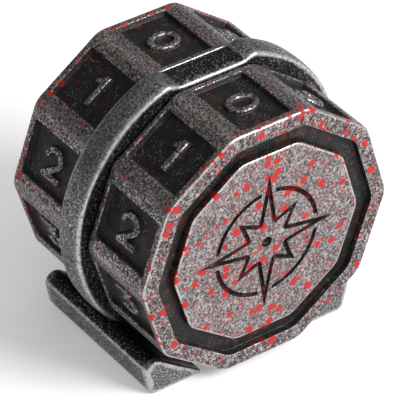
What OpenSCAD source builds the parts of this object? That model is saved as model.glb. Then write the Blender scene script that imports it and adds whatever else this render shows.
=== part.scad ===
// Two-dial score counter, 0 to 99.
// Two ten-sided number dials turn on one fixed axle, one on each side of a ring-shaped frame.
// X runs along the axle with the units dial at +X, the reader sits at -Y and Z is up.
// The origin is on the table, under the middle of the ring.

/* [Dials] */
// Distance across two opposite number faces
dial_af = 32; // [26:0.5:40]
// Length over both dials
body_l = 25.2; // [23:0.1:34]
// Radius that rounds the ten long edges of a dial
dial_corner_r = 2.6; // [0.5:0.1:3]
// Gap between the ring and the inner face of a dial
dial_gap = 0.25; // [0.15:0.05:0.4]
// Depth of the enamelled end recess round the cap
recess_depth = 0.9; // [0.5:0.1:1.2]
// Width of the flat rim round the end recess
rim_w = 1.95; // [1:0.05:3]
// Width of the ledge that carries the cap
cap_ledge = 0.9; // [0.5:0.05:1.5]
// Thickness of the dial's inner wall
floor_t = 2.3; // [1.5:0.1:3]
// Diameter of the dial's hub
hub_d = 8.6; // [7.4:0.2:9.4]

/* [Number windows] */
// Width of a window, round the dial
window_w = 6.8; // [5:0.1:7.2]
// Land between the window and the inner face
window_land_in = 0.62; // [0.4:0.02:1.2]
// Land between the window and the rim
window_land_out = 0.88; // [0.5:0.02:1.5]
// Depth of a window
window_depth = 0.65; // [0.3:0.05:1]

/* [Numerals] */
// Height of a numeral
digit_h = 4.15; // [3:0.05:4.6]
// Width of a numeral
digit_w = 3.35; // [2.4:0.05:3.8]
// Width of a numeral's stroke
stroke_w = 0.85; // [0.5:0.05:1]
// Height of a numeral above the window floor
digit_rise = 0.5; // [0.2:0.05:0.6]

/* [End caps] */
// Width of the open groove round the cap
groove_w = 1.95; // [1:0.05:2.2]
// Wall of the cap's locating lip
lip_wall = 1.4; // [0.8:0.1:2]
// Length of the cap's locating lip
lip_l = 1.2; // [0.6:0.1:1.4]
// Radial clearance of the lip in the dial
lip_clear = 0.05; // [0.02:0.01:0.1]
// Distance from the cap's edge to the tips of the engraved star
star_margin = 2.9; // [2:0.1:4]
// Width of an engraved line
line_w = 0.42; // [0.3:0.02:0.6]
// Depth of an engraved line
line_depth = 0.3; // [0.15:0.05:0.5]

/* [Ring frame] */
// Width of the ring
ring_w = 3.7; // [3.2:0.1:5]
// Height of the ring above the dials' sharp corners
ring_proud = 1.08; // [0.6:0.02:2]
// Rise of the ring's crown
ring_crown = 0.15; // [0.05:0.05:0.3]
// Bevel on the ring's two edges
ring_bevel = 0.3; // [0.1:0.05:0.5]
// Radial thickness of the ring
ring_t = 3.9; // [2.5:0.1:4.5]
// Thickness of the web inside the ring
web_t = 1.8; // [1.2:0.1:2]
// Diameter of the frame's hub
frame_hub_d = 8; // [7:0.2:9]
// Length of the flat floor of the reading notch
notch_l = 9.2; // [6:0.2:10]
// Height of the notch floor above the dials' top faces
notch_step = 0.35; // [0.2:0.05:0.6]
// Slope of the notch's end ramps
ramp_angle = 28; // [20:1:45]

/* [Feet] */
// Length of a foot, along the axle
foot_l = 20.2; // [14:0.2:23]
// Distance of a foot's outer wall inside the ring, at the table
foot_inset = 4.4; // [2:0.1:5]
// Thickness of a foot's thin inner edge
foot_tip_t = 0.38; // [0.3:0.02:0.8]
// Clearance between a foot and the dials' sharp corners
foot_gap = 0.78; // [0.4:0.02:1.2]
// Outward lean of a foot's outer wall
foot_lean = 13; // [0:1:18]
// Radius of a foot's upper outer edge
foot_top_r = 1.3; // [0.5:0.1:2]
// Radius of a foot's lower outer edge
foot_low_r = 0.9; // [0.3:0.1:1.2]
// Gap between the table and the dials' sharp corners
table_gap = 0.48; // [0.3:0.02:1.5]
// Gap between the table and the bottom of the ring
ring_table_gap = 0.25; // [0.1:0.05:0.3]

/* [Axle, screws and washers] */
// Diameter of the axle
axle_d = 4; // [3.6:0.1:4.4]
// Room between a screw's head and the cap
head_room = 2; // [1.5:0.1:3]
// Radial clearance of a dial on the axle
run_clear = 0.04; // [0.02:0.01:0.08]
// Radial clearance of the axle in the frame
press_clear = 0.01; // [0.01:0.01:0.02]
// End play of a dial, each side
end_play = 0.1; // [0.05:0.05:0.15]
// Diameter of a washer
washer_d = 7.2; // [6:0.1:7.4]
// Thickness of a washer
washer_t = 0.5; // [0.3:0.1:0.6]
// Diameter of a screw's shank
screw_d = 2; // [1.6:0.1:2.2]
// Length of a screw's shank
screw_l = 5; // [3:0.5:5.5]
// Diameter of a screw's head
screw_head_d = 3.8; // [3.4:0.1:4.4]
// Height of a screw's head
screw_head_h = 1.2; // [0.8:0.1:1.4]
// Width of the screw's hexagon socket, across flats
screw_socket_af = 1.3; // [1:0.1:1.5]

/* [Click springs] */
// Gap between a click spring and the frame's hub
click_hub_gap = 0.6; // [0.4:0.1:1.2]
// Thickness of the spring strip
click_t = 0.3; // [0.2:0.05:0.35]
// Width of the spring strip
click_w = 2.4; // [1.6:0.1:2.8]
// Radius of the spring's nose
nose_r = 0.5; // [0.4:0.02:0.56]
// Gap between a click spring's fixed end and the ring
click_ring_gap = 1; // [0.5:0.1:2]
// Diameter of the staking pegs
peg_d = 1.1; // [0.8:0.1:1.2]

/* [Hidden] */
$fn = 96;
eps = 0.02;
faces = 10;
face_turn = 360 / faces;
corner_r = dial_af / 2 / cos(face_turn / 2);
ring_r = corner_r + ring_proud;
axle_h = corner_r + table_gap;
ring_face = ring_w / 2;
web_face = web_t / 2;
dial_in = ring_face + dial_gap;
dial_out = body_l / 2;
recess_x = dial_out - recess_depth;
recess_af = dial_af - 2 * rim_w;
cap_af = recess_af - 2 * groove_w;
pocket_d = cap_af - 2 * cap_ledge;
star_r = cap_af / 2 - star_margin;
pocket_x = dial_in + floor_t;
hub_in = ring_face + end_play;
axle_end = recess_x - head_room - screw_head_h - washer_t;
hub_out = axle_end - end_play;
window_x0 = dial_in + window_land_in;
window_x1 = dial_out - window_land_out;
floor_r = dial_af / 2 - window_depth;
click_r = frame_hub_d / 2 + click_hub_gap + click_w / 2;
click_l = sqrt(pow(ring_r - ring_t - click_ring_gap, 2) - pow(click_r + click_w / 2, 2));
// the nose reaches past the dial's inner face, into a wider rounded notch that is clear of it all round
nose_reach = 0.3;
notch_clear = 0.1;
notch_end_clear = 0.3;
nose_x = dial_in + nose_reach - nose_r;
notch_r = nose_r + 0.25;
notch_x = nose_x + nose_r + notch_clear - notch_r;
notch_span = click_w + 2 * notch_end_clear;
// two pegs on the web hold each spring, and are spread into low heads
peg_pitch = 2.2;
peg_inset = 0.9;
peg_head = 0.2;
peg_clear = 0.05;
// overlap that joins the web to the ring
weld = 0.1;
// radial clearance of a screw in its washer, and depth tapped past the screw's end
washer_clear = 0.1;
tap_spare = 0.5;
// the engraved star: short tips and waist as shares of its radius, line widths inside its outline,
// radius of the ring behind it and line widths in the dot's radius
star_tips = 8;
star_short = 0.62;
star_waist = 0.27;
star_line = 3.4;
star_ring = 0.74;
dot_line = 1.6;
silver = [0.66, 0.65, 0.63];
pewter = [0.42, 0.42, 0.43];
steel = [0.72, 0.73, 0.75];
spring_steel = [0.50, 0.50, 0.48];

// ---- outlines ----

function unit(v) = v / norm(v);

// points of one rounded corner b, between neighbours a and c
function corner_arc(a, b, c, r, steps) =
    let (u = unit(a - b), v = unit(c - b), half = acos(u * v) / 2,
         centre = b + unit(u + v) * r / sin(half),
         start = b + u * r / tan(half) - centre, turn = 180 - 2 * half,
         way = cross(u, v) < 0 ? 1 : -1)
    [for (i = [0 : steps]) let (t = way * turn * i / steps)
        centre + [start.x * cos(t) - start.y * sin(t), start.x * sin(t) + start.y * cos(t)]];

// a closed outline with a radius at each of its corners
function rounded(pts, radii, steps) =
    let (n = len(pts))
    [for (i = [0 : n - 1])
        each corner_arc(pts[(i + n - 1) % n], pts[i], pts[(i + 1) % n], radii[i], steps)];

// a regular outline with one flat on top, across flats af
function decagon(af) =
    [for (i = [0 : faces - 1]) let (t = 90 + face_turn * (i + 0.5))
        af / 2 / cos(face_turn / 2) * [cos(t), sin(t)]];

function arc_points(centre, rx, ry, from, to, steps) =
    [for (i = [0 : steps]) let (t = from + (to - from) * i / steps) centre + [rx * cos(t), ry * sin(t)]];

// the sideways direction of a smooth path at its point i
function path_side(p, i) =
    let (d = unit(p[min(i + 1, len(p) - 1)] - p[max(i - 1, 0)])) [-d.y, d.x];

// a band of width w along a smooth path
module stroke(p, w) {
    left = [for (i = [0 : len(p) - 1]) p[i] + path_side(p, i) * w / 2];
    right = [for (i = [len(p) - 1 : -1 : 0]) p[i] - path_side(p, i) * w / 2];
    polygon(concat(left, right));
}

// ---- numerals, each centred on the origin, read with +Y up ----

cx = (digit_w - stroke_w) / 2;
cy = (digit_h - stroke_w) / 2;
loop_r = cy / 2;

// a straight stroke with a round end at q
module bar_to(p, q) {
    stroke([p, q], stroke_w);
    translate(q) circle(d = stroke_w, $fn = 24);
}

// the open bowl under a 3 or a 5, from angle a to angle b
module bowl(a, b) stroke(arc_points([0, -cy + cx * 0.92], cx, cx * 0.92, a, b, 14), stroke_w);

module digit(n) {
    w = stroke_w;
    if (n == 0) eye([0, 0], cx, cy);
    if (n == 1) {
        stroke([[0.4, -cy - w / 2], [0.4, cy + w / 2]], w);
        bar_to([0.4, cy + w * 0.05], [-0.65, cy - 0.85]);
    }
    if (n == 2) {
        stroke(arc_points([0, cy - cx * 0.86], cx, cx * 0.86, 170, -38, 14), w);
        bar_to([cx * 0.86, cy - cx * 1.3], [-cx, -cy]);
        stroke([[-cx, -cy], [cx + w / 2, -cy]], w);
    }
    if (n == 3) {
        bar_to([-cx, cy], [cx * 0.7, cy]);
        bar_to([cx * 0.7, cy], [-0.1, loop_r * 0.3]);
        bowl(82, -160);
    }
    if (n == 4) {
        bar_to([cx * 0.5, cy], [-cx, -cy * 0.35]);
        stroke([[-cx, -cy * 0.35], [cx + w / 2, -cy * 0.35]], w);
        stroke([[cx * 0.5, cy + w / 2], [cx * 0.5, -cy - w / 2]], w);
    }
    if (n == 5) {
        bar_to([cx, cy], [-cx * 0.8, cy]);
        bar_to([-cx * 0.8, cy], [-cx * 0.86, 0.1]);
        bowl(140, -155);
    }
    if (n == 6) six();
    if (n == 7) {
        bar_to([-cx, cy], [cx, cy]);
        stroke([[cx, cy], [-cx * 0.25, -cy - w / 2]], w);
    }
    if (n == 8) {
        eye([0, loop_r], cx * 0.86, loop_r);
        eye([0, -loop_r], cx, loop_r);
    }
    if (n == 9) rotate(180) six();
}

// a closed loop of stroke round a centre
module eye(c, rx, ry) difference() {
    polygon(arc_points(c, rx + stroke_w / 2, ry + stroke_w / 2, 0, 345, 23));
    polygon(arc_points(c, rx - stroke_w / 2, ry - stroke_w / 2, 0, 345, 23));
}

module six() {
    eye([0, -loop_r * 0.85], cx, loop_r * 1.15);
    stroke(arc_points([cx * 0.75, -loop_r * 0.85], cx * 1.75, cy + loop_r * 0.85, 178, 105, 8), stroke_w);
}

// ---- placing ----

// puts children on the axle line, local X along the axle
module at_axle() translate([0, 0, axle_h]) children();

// local +X is outward on either side of the frame
module outward(side) at_axle() mirror([side < 0 ? 1 : 0, 0, 0]) children();

// a cylinder along X from x0 to x1
module rod(x0, x1, d) translate([x0, 0, 0]) rotate([0, 90, 0]) cylinder(d = d, h = x1 - x0);

// a YZ outline drawn as XY, swept along X from x0 to x1
module bar(x0, x1) translate([x0, 0, 0]) rotate([90, 0, 90]) linear_extrude(x1 - x0) children();

// ---- frame ----

module ring_section() {
    crown = [for (i = [-3 : 3]) let (x = (ring_face - ring_bevel) * i / 3)
        [ring_r + ring_crown * (1 - pow(x / ring_face, 2)), x]];
    rotate([0, 90, 0]) rotate_extrude()
        polygon(concat([[ring_r - ring_t, -ring_face], [ring_r - ring_bevel, -ring_face]], crown,
                       [[ring_r - ring_bevel, ring_face], [ring_r - ring_t, ring_face]]));
}

// the flat floor over the dials' top faces, with a ramp at each end
module reading_notch() {
    low = dial_af / 2 + notch_step;
    half = notch_l / 2;
    rise = ring_t;
    run = rise / tan(ramp_angle);
    bar(-ring_w, ring_w) polygon([[-half, low], [half, low], [half + run, low + rise], [-half - run, low + rise]]);
}

// one foot's section, y outward and z up from the table
function foot_outline() =
    let (s = sin(face_turn), c = cos(face_turn), d = corner_r + foot_gap, lean = tan(foot_lean),
         base = ring_r - foot_inset, tip = (d - (axle_h - foot_tip_t) * c) / s, tip_r = foot_tip_t / 5,
         top_z = (axle_h - d / c + s / c * base) / (1 - s / c * lean))
    rounded([[tip, 0], [base, 0], [base + top_z * lean, top_z], [tip, foot_tip_t]],
            [tip_r, foot_low_r, foot_top_r, tip_r], 5);

module feet() for (m = [0, 1]) mirror([0, m, 0])
    bar(-foot_l / 2, foot_l / 2) polygon(foot_outline());

module pegs(side) outward(side) for (i = [0, 1])
    translate([0, -click_l + peg_inset + peg_pitch * i, click_r])
        rod(web_face - eps, web_face + click_t + peg_head, peg_d);

module frame() color(pewter) difference() {
    union() {
        difference() {
            at_axle() union() {
                ring_section();
                rod(-web_face, web_face, 2 * (ring_r - ring_t + weld));
                rod(-ring_face, ring_face, frame_hub_d);
            }
            at_axle() reading_notch();
            translate([-ring_w, -ring_r, -ring_r]) cube([2 * ring_w, 2 * ring_r, ring_r + ring_table_gap]);
        }
        feet();
        pegs(1);
        pegs(-1);
    }
    at_axle() rod(-ring_w, ring_w, axle_d + 2 * press_clear);
}

// ---- axle, washers and screws ----

module axle() color(steel) at_axle() difference() {
    rod(-axle_end, axle_end, axle_d);
    for (m = [0, 1]) mirror([m, 0, 0]) rod(axle_end - screw_l - tap_spare, axle_end + 1, screw_d + 2 * press_clear);
}

module washer(side) color(steel) outward(side) difference() {
    rod(axle_end, axle_end + washer_t, washer_d);
    rod(axle_end - 1, axle_end + 1, screw_d + 2 * washer_clear);
}

module retaining_screw(side) color(steel) outward(side) difference() {
    union() {
        rod(axle_end - screw_l, axle_end + washer_t + eps, screw_d);
        rod(axle_end + washer_t, axle_end + washer_t + screw_head_h, screw_head_d);
    }
    translate([axle_end + washer_t + screw_head_h / 2, 0, 0]) rotate([0, 90, 0])
        cylinder(d = screw_socket_af / cos(30), h = screw_head_h, $fn = 6);
}

// ---- click spring: a stamped strip, held by two pegs, whose nose drops into the dial's notches ----

module click_spring(side) color(spring_steel) outward(side) translate([0, 0, click_r]) {
    t = click_t;
    bend = -click_l + 2 * peg_pitch;
    lift = nose_x - web_face;
    nose = arc_points([0, lift], nose_r, nose_r, 20, 160, 8);
    inside = arc_points([0, lift], nose_r - t * 0.8, nose_r - t * 0.8, 160, 20, 6);
    difference() {
        translate([web_face, 0, -click_w / 2])
            strip(concat([[-click_l, 0], [bend, 0], [-nose_r - 0.15, lift - t]], inside,
                         [[nose_r + 0.1, lift - t], [nose_r + 0.4, lift - t * 0.9], [nose_r + 0.15, lift + t * 0.4]],
                         nose, [[-nose_r - 0.25, lift + t * 0.1], [bend, t], [-click_l, t]]));
        for (i = [0, 1]) translate([0, -click_l + peg_inset + peg_pitch * i, 0])
            rod(0, web_face + 2 * t, peg_d + 2 * peg_clear);
    }
}

// the strip's side outline, x along the spring (world Y) and y outward (world X), made click_w wide
module strip(outline) mirror([1, 0, 0]) rotate([0, 0, 90]) linear_extrude(click_w) polygon(outline);

// ---- dials ----

module decagon_bar(x0, x1, af, r) bar(x0, x1) polygon(rounded(decagon(af), [for (i = [1 : faces]) r], 4));

module dial_body() difference() {
    union() {
        decagon_bar(dial_in, dial_out, dial_af, dial_corner_r);
        rod(hub_in, pocket_x, hub_d);
    }
    decagon_bar(recess_x, dial_out + 1, recess_af, dial_corner_r);
    difference() {
        rod(pocket_x, recess_x + eps, pocket_d);
        rod(pocket_x - 1, hub_out, hub_d);
    }
    rod(0, dial_out, axle_d + 2 * run_clear);
    for (k = [0 : faces - 1]) rotate([face_turn * k, 0, 0]) {
        translate([window_x0, -window_w / 2, floor_r]) cube([window_x1 - window_x0, window_w, window_depth * 3]);
        translate([notch_x, 0, click_r - notch_span / 2]) cylinder(r = notch_r, h = notch_span, $fn = 24);
    }
}

module dial(side) color(silver) {
    outward(side) dial_body();
    at_axle() for (k = [0 : faces - 1]) rotate([face_turn * k, 0, 0])
        translate([side * (window_x0 + window_x1) / 2, 0, floor_r - eps])
            linear_extrude(digit_rise + eps) digit(k);
}

// ---- end caps ----

function star_points(r, waist) =
    [for (i = [0 : 2 * star_tips - 1]) let (t = 180 * i / star_tips, tip = i % 4 == 0 ? r : r * star_short)
        (i % 2 == 0 ? tip : waist) * [cos(t), sin(t)]];

module star_line() difference() {
    polygon(star_points(star_r, star_r * star_waist));
    polygon(star_points(star_r - line_w * star_line, star_r * star_waist - line_w));
}

module ring_line(r) difference() {
    circle(r = r + line_w / 2);
    circle(r = r - line_w / 2);
}

module emblem() {
    star_line();
    difference() {
        ring_line(star_r * star_ring);
        polygon(star_points(star_r + line_w, star_r * star_waist + line_w));
    }
    circle(r = line_w * dot_line);
}

module end_cap(side) color(silver) outward(side) difference() {
    union() {
        decagon_bar(recess_x, dial_out, cap_af, dial_corner_r);
        rod(recess_x - lip_l, recess_x + eps, pocket_d - 2 * lip_clear);
    }
    rod(recess_x - lip_l - 1, recess_x, pocket_d - 2 * lip_clear - 2 * lip_wall);
    translate([dial_out - line_depth, 0, 0]) rotate([90, 0, 90]) linear_extrude(1) emblem();
}

frame();
axle();
dial(1);  // units_dial
end_cap(1);  // units_end_cap
washer(1);  // units_washer
retaining_screw(1);  // units_retaining_screw
click_spring(1);  // units_click_spring
dial(-1);  // tens_dial
end_cap(-1);  // tens_end_cap
washer(-1);  // tens_washer
retaining_screw(-1);  // tens_retaining_screw
click_spring(-1);  // tens_click_spring
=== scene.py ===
"""Looks of the two-dial score counter: cast dials, engraved end caps and a ring frame with two feet.

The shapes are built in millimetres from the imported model's boxes and a few named sizes, and turned into
metres when a mesh is made. X runs along the axle, the reader sits at -Y and Z is up.
"""

import math

import bmesh
import bpy
import numpy as np
from mathutils import Matrix, Vector
from mathutils.geometry import delaunay_2d_cdt


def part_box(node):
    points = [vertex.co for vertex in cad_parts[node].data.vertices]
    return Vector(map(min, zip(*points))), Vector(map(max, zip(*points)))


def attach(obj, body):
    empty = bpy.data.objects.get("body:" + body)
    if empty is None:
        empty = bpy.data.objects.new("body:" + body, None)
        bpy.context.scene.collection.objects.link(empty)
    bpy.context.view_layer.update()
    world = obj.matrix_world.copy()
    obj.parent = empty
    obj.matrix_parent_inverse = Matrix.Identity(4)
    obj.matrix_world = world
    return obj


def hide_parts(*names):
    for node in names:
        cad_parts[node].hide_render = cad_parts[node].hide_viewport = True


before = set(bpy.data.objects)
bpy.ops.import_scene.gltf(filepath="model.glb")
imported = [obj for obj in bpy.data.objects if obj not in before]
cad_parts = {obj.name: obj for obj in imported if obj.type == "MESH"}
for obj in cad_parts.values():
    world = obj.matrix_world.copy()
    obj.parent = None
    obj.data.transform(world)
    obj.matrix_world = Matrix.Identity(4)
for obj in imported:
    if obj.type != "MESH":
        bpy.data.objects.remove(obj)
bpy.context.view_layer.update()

# ---- sizes, in millimetres ----

MM = 0.001


def node_box(node):
    low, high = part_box(node)
    return [v / MM for v in low], [v / MM for v in high]


dial_low, dial_high = node_box("units_dial")
cap_low, cap_high = node_box("units_end_cap")
frame_low, frame_high = node_box("frame")

AXLE_H = (dial_low[2] + dial_high[2]) / 2
DIAL_AF = dial_high[2] - dial_low[2]
DIAL_OUT = dial_high[0]
CAP_AF = cap_high[2] - cap_low[2]
RING_TOP = frame_high[1]
FOOT_L = frame_high[0] - frame_low[0]

FACES = 10
FACE_TURN = math.tau / FACES
CORNER_R = 2.6
CORNER_STEPS = 7
DIAL_CORNER = DIAL_AF / 2 / math.cos(FACE_TURN / 2)
DIAL_FLAT = (DIAL_AF / 2 - CORNER_R) * math.tan(FACE_TURN / 2)

DIAL_IN = 2.1
HUB_IN = dial_low[0]
HUB_OUT = 7.9
HUB_R = 4.3
BORE_R = 2.04
FLOOR_T = 2.3
RIM_W = 1.95
RIM_EDGE_R = 0.34
INNER_EDGE_R = 0.22
RECESS_X = DIAL_OUT - 0.9
POCKET_R = CAP_AF / 2 - 0.9
CAP_EDGE_R = 0.2
CAP_DRAFT = 0.06
CAP_LIP_T = 1.4
CAP_CLEAR = 0.05

WINDOW_HALF = 3.4
WINDOW_X0 = DIAL_IN + 0.62
WINDOW_X1 = DIAL_OUT - 0.88
WINDOW_DEPTH = 0.65
WINDOW_CORNER_R = 0.3
WALL_RUN = 0.22
DIGIT_H = 4.15
DIGIT_W = 3.35
STROKE_W = 0.85

RING_FACE = 1.85
RING_CROWN = 0.15
RING_EDGE_R = 0.42
RING_R = RING_TOP - RING_CROWN
RING_T = 3.9
WEB_FACE = 0.9
FRAME_HUB_R = 4.0
AXLE_R = 2.01
NOTCH_HALF = 4.6
NOTCH_STEP = 0.35
RAMP = math.radians(28)
RING_TABLE_GAP = 0.25
FOOT_GAP = 0.78
FOOT_INSET = 4.4
FOOT_TIP_T = 0.38
FOOT_LEAN = math.tan(math.radians(13))
FOOT_BASE_R = 0.9
FOOT_TOP_R = 1.3
FOOT_END_R = 0.38

# heights on a foot: the painted highlight line along its ridge, and the top of the ridge
FOOT_RIDGE = 3.57
FOOT_TOP = 5.2

# paint mark of the engraved lines; 1 is plain enamel
ENGRAVED = 1.7


# ---- mesh building ----

class Shell:
    """Vertices in millimetres with a few numbers each, and faces, gathered into one mesh."""

    def __init__(self):
        self.places = []
        self.marks = []
        self.faces = []

    def add(self, place, paint_and_shade=0.0, wear_and_highlight=0.0):
        self.places.append(tuple(place))
        self.marks.append((paint_and_shade, wear_and_highlight))
        return len(self.places) - 1

    def ring(self, places, paint_and_shade=0.0, wear_and_highlight=0.0):
        return [self.add(p, paint_and_shade, wear_and_highlight) for p in places]

    def bridge(self, a, b, skip=None):
        """Quads between two closed rings of as many vertices."""
        n = len(a)
        for i in range(n):
            if skip is None or not skip(i):
                j = (i + 1) % n
                self.faces.append((a[i], b[i], b[j], a[j]))

    def mesh(self, name):
        mesh = bpy.data.meshes.new(name)
        mesh.from_pydata([Vector(p) * MM for p in self.places], [], self.faces)
        for i, mark in enumerate(("paint_and_shade", "wear_and_highlight")):
            attribute = mesh.attributes.new(mark, "FLOAT", "POINT")
            attribute.data.foreach_set("value", [m[i] for m in self.marks])
        mesh.validate()
        return mesh


def held(value):
    """The value, kept between 0 and 1."""
    return min(1, max(0, value))


def rounded_path(points, radii, steps=4):
    """An open path whose inner corners are arcs of these radii."""
    path = [points[0]]
    for i in range(1, len(points) - 1):
        r = radii[i - 1]
        b = np.array(points[i], float)
        if r <= 0:
            path.append(tuple(b))
            continue
        u = np.array(points[i - 1], float) - b
        v = np.array(points[i + 1], float) - b
        u, v = u / np.linalg.norm(u), v / np.linalg.norm(v)
        half = math.acos(max(-1.0, min(1.0, float(u @ v)))) / 2
        centre = b + (u + v) / np.linalg.norm(u + v) * r / math.sin(half)
        start = b + u * r / math.tan(half) - centre
        turn = math.pi - 2 * half
        way = 1 if u[0] * v[1] - u[1] * v[0] < 0 else -1
        for s in range(steps + 1):
            t = way * turn * s / steps
            c, d = math.cos(t), math.sin(t)
            path.append((centre[0] + start[0] * c - start[1] * d, centre[1] + start[0] * d + start[1] * c))
    path.append(points[-1])
    return path


def spread(a, b, pitch):
    """Evenly spaced values strictly between a and b, about a pitch apart."""
    n = max(1, round(abs(b - a) / pitch))
    return [a + (b - a) * i / n for i in range(1, n)]


# ---- the rounded decagon ----

def outline(af, r, along):
    """Points and outward normals of a rounded decagon, as (y, z, ny, nz) about the axle.

    along holds the places of the points on a flat, from -1 to 1, in falling order.
    """
    flat = (af / 2 - r) * math.tan(FACE_TURN / 2)
    centre_r = (af / 2 - r) / math.cos(FACE_TURN / 2)
    rows = []
    for k in range(FACES):
        a = FACE_TURN * k
        c, s = math.cos(a), math.sin(a)
        for t in along:
            y, z = t * flat, af / 2
            rows.append((y * c - z * s, y * s + z * c, -s, c))
        for i in range(1, CORNER_STEPS):
            f = a + FACE_TURN * i / CORNER_STEPS
            m = a + FACE_TURN / 2
            ny, nz = -math.sin(f), math.cos(f)
            rows.append((-centre_r * math.sin(m) + r * ny, centre_r * math.cos(m) + r * nz, ny, nz))
    return np.array(rows)


def inset(rows, x, e):
    """The outline moved inward by e, in the plane at x."""
    return [(x, y - ny * e, z - nz * e) for y, z, ny, nz in rows]


def circle(rows, x, r):
    """As many points as the outline has, on a circle round the axle."""
    return [(x, y * r / math.hypot(y, z), z * r / math.hypot(y, z)) for y, z, _, _ in rows]


# ---- fields and their contours ----

def to_polyline(px, py, path):
    """Distance from each grid point to a polyline."""
    best = np.full(px.shape, 1e9)
    for (ax, ay), (bx, by) in zip(path[:-1], path[1:]):
        dx, dy = bx - ax, by - ay
        length = dx * dx + dy * dy
        if length < 1e-12:
            continue
        t = np.clip(((px - ax) * dx + (py - ay) * dy) / length, 0, 1)
        best = np.minimum(best, np.hypot(px - ax - t * dx, py - ay - t * dy))
    return best


def bar(px, py, p, q, width):
    """Signed distance to a straight bar with square ends."""
    (ax, ay), (bx, by) = p, q
    length = math.hypot(bx - ax, by - ay)
    ux, uy = (bx - ax) / length, (by - ay) / length
    mx, my = (ax + bx) / 2, (ay + by) / 2
    along = np.abs((px - mx) * ux + (py - my) * uy) - length / 2
    across = np.abs((py - my) * ux - (px - mx) * uy) - width / 2
    return np.hypot(np.maximum(along, 0), np.maximum(across, 0)) + np.minimum(np.maximum(along, across), 0)


def stroke(px, py, path, width):
    """Signed distance to a path drawn with a round pen."""
    return to_polyline(px, py, path) - width / 2


def inside(px, py, loop):
    """True where a grid point is inside a closed loop."""
    result = np.zeros(px.shape, bool)
    n = len(loop)
    for i in range(n):
        (ax, ay), (bx, by) = loop[i], loop[(i + 1) % n]
        if ay == by:
            continue
        crosses = (ay > py) != (by > py)
        result ^= crosses & (px < (bx - ax) * (py - ay) / (by - ay) + ax)
    return result


def polygon_field(px, py, loop):
    """Signed distance to a filled polygon."""
    distance = to_polyline(px, py, loop + loop[:1])
    return np.where(inside(px, py, loop), -distance, distance)


def contours(field, xs, ys, level):
    """Closed loops along which the field has this level."""
    f = field - level
    f = np.where(f == 0, 1e-9, f)
    sign = f > 0
    links = {}

    def cross(i, j, across):
        a, b = (f[j, i], f[j, i + 1]) if across else (f[j, i], f[j + 1, i])
        t = a / (a - b)
        if across:
            return (xs[i] + t * (xs[i + 1] - xs[i]), ys[j])
        return (xs[i], ys[j] + t * (ys[j + 1] - ys[j]))

    corner = sign[:-1, :-1].astype(int) + sign[:-1, 1:] + sign[1:, :-1] + sign[1:, 1:]
    for j, i in zip(*np.nonzero((corner > 0) & (corner < 4))):
        edges = []
        if sign[j, i] != sign[j, i + 1]:
            edges.append((i, j, True))
        if sign[j, i + 1] != sign[j + 1, i + 1]:
            edges.append((i + 1, j, False))
        if sign[j + 1, i] != sign[j + 1, i + 1]:
            edges.append((i, j + 1, True))
        if sign[j, i] != sign[j + 1, i]:
            edges.append((i, j, False))
        for a, b in zip(edges[::2], edges[1::2]):
            links.setdefault(a, []).append(b)
            links.setdefault(b, []).append(a)
    loops = []
    unused = set(links)
    while unused:
        start = min(unused)
        path, here, last = [], start, None
        while here in unused:
            unused.discard(here)
            path.append(cross(*here))
            following = [n for n in links[here] if n != last and n in unused]
            last = here
            if not following:
                break
            here = following[0]
        if len(path) > 6:
            loops.append(path)
    return loops


def simplified(loop, tolerance):
    """The loop with the points left out that lie on its straight stretches."""
    points = np.array(loop)

    def keep(a, b):
        if b - a < 2:
            return []
        p, q = points[a], points[b % len(points)]
        d = q - p
        length = np.hypot(*d) or 1e-9
        between = points[a + 1:b] - p
        away = np.abs(between[:, 0] * d[1] - between[:, 1] * d[0]) / length
        far = int(np.argmax(away))
        if away[far] < tolerance:
            return []
        m = a + 1 + far
        return keep(a, m) + [m] + keep(m, b)

    half = len(points) // 2
    kept = [0] + keep(0, half) + [half] + keep(half, len(points))
    return [tuple(points[k]) for k in kept]


def relief_loops(shape, half_w, half_h, pitch, levels):
    """[(loop, height)] for each level of a relief, from the shape's rough field.

    The distances are measured again from the shape's own edge, so that the levels are evenly spaced.
    """
    xs = np.arange(-half_w, half_w + pitch, pitch)
    ys = np.arange(-half_h, half_h + pitch, pitch)
    px, py = np.meshgrid(xs, ys)
    rough = shape(px, py)
    edge = contours(rough, xs, ys, 0)
    distance = np.full(px.shape, 1e9)
    for loop in edge:
        fine = simplified(loop, pitch * 0.04)
        distance = np.minimum(distance, to_polyline(px, py, fine + fine[:1]))
    field = np.where(rough < 0, -distance, distance)
    made = []
    for level, height in levels:
        for loop in contours(field, xs, ys, level):
            fine = simplified(loop, pitch * 0.06)
            if len(fine) > 3:
                made.append((fine, height))
    return made


def fill_relief(shell, border, loops, place):
    """Triangles inside the border that run through each contour. border is [(point, vertex)]."""
    points = [Vector(p) for p, _ in border]
    vertices = [v for _, v in border]
    edges = [(i, (i + 1) % len(border)) for i in range(len(border))]
    for loop, height in loops:
        first = len(points)
        points += [Vector(p) for p in loop]
        vertices += [place(p, height) for p in loop]
        n = len(loop)
        edges += [(first + i, first + (i + 1) % n) for i in range(n)]
    made, _, faces, origin, _, _ = delaunay_2d_cdt(points, edges, [], 1, 1e-7)
    index = []
    for p, source in zip(made, origin):
        index.append(vertices[source[0]] if source else place(p, 0.0))
    for f in faces:
        corners = tuple(index[v] for v in f)
        if len(set(corners)) == 3:
            shell.faces.append(corners)


# ---- numerals ----

CX = (DIGIT_W - STROKE_W) / 2
CY = (DIGIT_H - STROKE_W) / 2
EYE_R = CY / 2


def arc(centre, rx, ry, start, end, steps=28):
    """Points along an elliptic arc, from one angle in degrees to another."""
    angles = [math.radians(start + (end - start) * i / steps) for i in range(steps + 1)]
    return [(centre[0] + rx * math.cos(a), centre[1] + ry * math.sin(a)) for a in angles]


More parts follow.
